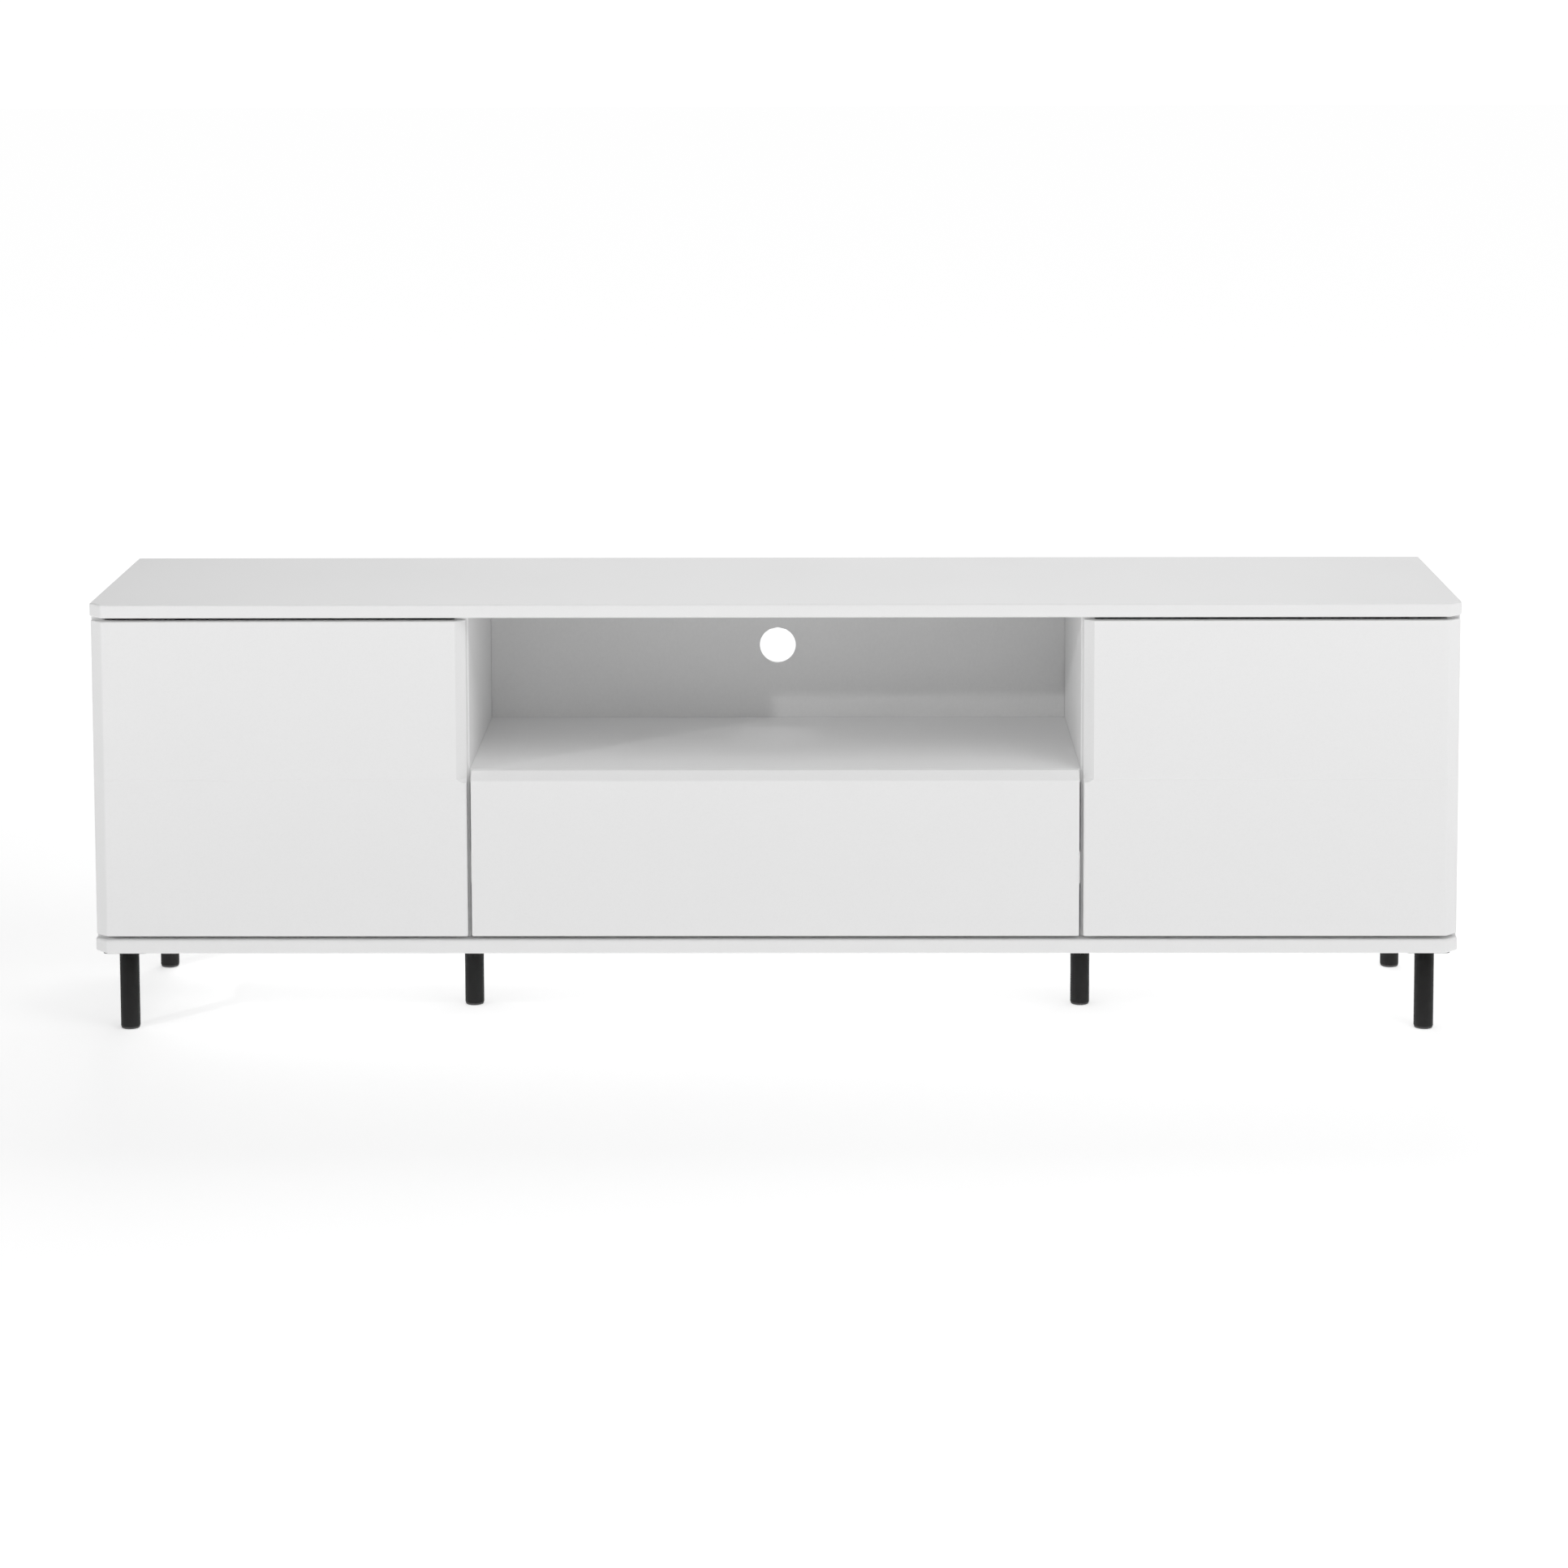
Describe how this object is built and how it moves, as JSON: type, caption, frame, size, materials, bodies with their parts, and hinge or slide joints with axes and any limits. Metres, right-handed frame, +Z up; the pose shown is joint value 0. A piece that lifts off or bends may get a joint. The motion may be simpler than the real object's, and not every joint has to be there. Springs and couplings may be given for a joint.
{
  "type": "tv stand with doors",
  "caption": "Low, wide TV stand on round metal legs: a hinged cupboard at each end, and an open shelf with a cable hole above a wide drawer between them.",
  "frame": {"origin": "on the floor, under the middle of the stand's width and depth", "axes": "+X to the right as seen from the front, +Y to the back, +Z up"},
  "size_m": [1.8, 0.4, 0.576],
  "materials": {
    "white_lacquer": "MDF board with smooth silk-matt white lacquer",
    "white_back_board": "thin fibreboard with matt white paint",
    "white_drawer_box": "board with fine-grained matt white foil",
    "black_steel": "steel with fine satin black powder coat",
    "black_plastic": "matt moulded black plastic",
    "plain_steel": "nickel or zinc plated pressed steel"
  },
  "bodies": {
    "carcass": {"top_panel": "white_lacquer", "base_panel": "white_lacquer", "left_side_panel": "white_lacquer", "right_side_panel": "white_lacquer", "left_divider": "white_lacquer", "right_divider": "white_lacquer", "niche_floor_panel": "white_lacquer", "centre_back_board": "white_back_board", "left_back_board": "white_back_board", "right_back_board": "white_back_board", "left_cupboard_shelf": "white_lacquer", "right_cupboard_shelf": "white_lacquer", "left_outer_front_shelf_pin": "plain_steel", "left_outer_back_shelf_pin": "plain_steel", "left_inner_front_shelf_pin": "plain_steel", "left_inner_back_shelf_pin": "plain_steel", "right_outer_front_shelf_pin": "plain_steel", "right_outer_back_shelf_pin": "plain_steel", "right_inner_front_shelf_pin": "plain_steel", "right_inner_back_shelf_pin": "plain_steel", "left_upper_hinge_arm": "plain_steel", "left_lower_hinge_arm": "plain_steel", "right_upper_hinge_arm": "plain_steel", "right_lower_hinge_arm": "plain_steel", "left_upper_hinge_plate": "plain_steel", "left_lower_hinge_plate": "plain_steel", "right_upper_hinge_plate": "plain_steel", "right_lower_hinge_plate": "plain_steel", "left_cabinet_rail": "plain_steel", "right_cabinet_rail": "plain_steel", "left_front_leg": "black_steel", "right_front_leg": "black_steel", "left_middle_leg": "black_steel", "right_middle_leg": "black_steel", "left_rear_leg": "black_steel", "right_rear_leg": "black_steel", "left_front_foot_glide": "black_plastic", "right_front_foot_glide": "black_plastic", "left_middle_foot_glide": "black_plastic", "right_middle_foot_glide": "black_plastic", "left_rear_foot_glide": "black_plastic", "right_rear_foot_glide": "black_plastic"},
    "left_door_body": {"left_door": "white_lacquer", "left_upper_hinge_cup": "plain_steel", "left_lower_hinge_cup": "plain_steel"},
    "right_door_body": {"right_door": "white_lacquer", "right_upper_hinge_cup": "plain_steel", "right_lower_hinge_cup": "plain_steel"},
    "drawer": {"drawer_front": "white_lacquer", "left_drawer_side": "white_drawer_box", "right_drawer_side": "white_drawer_box", "drawer_back": "white_drawer_box", "drawer_bottom": "white_back_board", "left_drawer_rail": "plain_steel", "right_drawer_rail": "plain_steel"},
    "left_runner_middle": {"left_middle_rail": "plain_steel"},
    "right_runner_middle": {"right_middle_rail": "plain_steel"}
  },
  "joints": [
    {"name": "left_door_hinge", "type": "hinge", "parent": "carcass", "child": "left_door_body", "pos_m": [-0.8995, -0.1795, 0.343], "axis": [0, 0, -1], "range_deg": [0, 105]},
    {"name": "right_door_hinge", "type": "hinge", "parent": "carcass", "child": "right_door_body", "pos_m": [0.8995, -0.1795, 0.343], "axis": [0, 0, 1], "range_deg": [0, 105]},
    {"name": "drawer_slide", "type": "slide", "parent": "carcass", "child": "drawer", "axis": [0, -1, 0], "range_m": [0, 0.3]},
    {"name": "left_runner_slide", "type": "slide", "parent": "carcass", "child": "left_runner_middle", "axis": [0, -1, 0], "range_m": [0, 0.15]},
    {"name": "right_runner_slide", "type": "slide", "parent": "carcass", "child": "right_runner_middle", "axis": [0, -1, 0], "range_m": [0, 0.15]}
  ],
  "couplings": [
    {"joint": "left_runner_slide", "follows": "drawer_slide", "ratio": 0.5},
    {"joint": "right_runner_slide", "follows": "drawer_slide", "ratio": 0.5}
  ]
}
